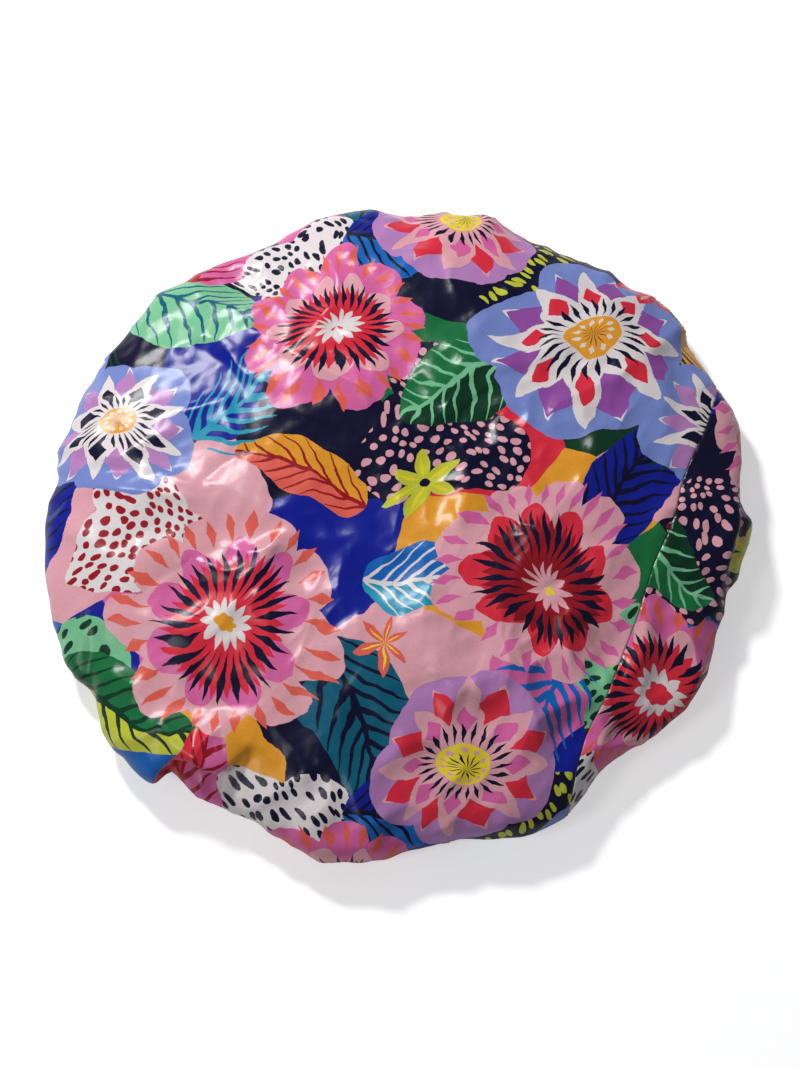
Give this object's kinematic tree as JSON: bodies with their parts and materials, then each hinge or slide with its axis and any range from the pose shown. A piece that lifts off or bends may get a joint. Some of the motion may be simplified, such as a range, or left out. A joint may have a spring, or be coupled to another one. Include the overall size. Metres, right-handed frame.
{
  "type": "hair bonnet",
  "caption": "Round gathered satin hair bonnet lying crown up, with a scalloped rim, a straight panel seam, a plain lining and an elastic casing round the head opening.",
  "frame": {"origin": "on the table, under the middle of the bonnet's outline as it lies flat with its crown up", "axes": "+Z from the head opening up to the crown; +X along the widest way across, towards the side panel; +Y across, square to both"},
  "size_m": [0.3526, 0.3448, 0.0482],
  "materials": {
    "printed_satin": "smooth satin with a multicolour flower and leaf print",
    "plain_satin": "smooth plain satin",
    "elastic": "ribbed knitted elastic"
  },
  "bodies": {
    "root": {"crown_panel": "printed_satin", "side_panel": "printed_satin", "lining": "plain_satin", "elastic_casing": "plain_satin", "elastic_band": "elastic"}
  },
  "joints": []
}
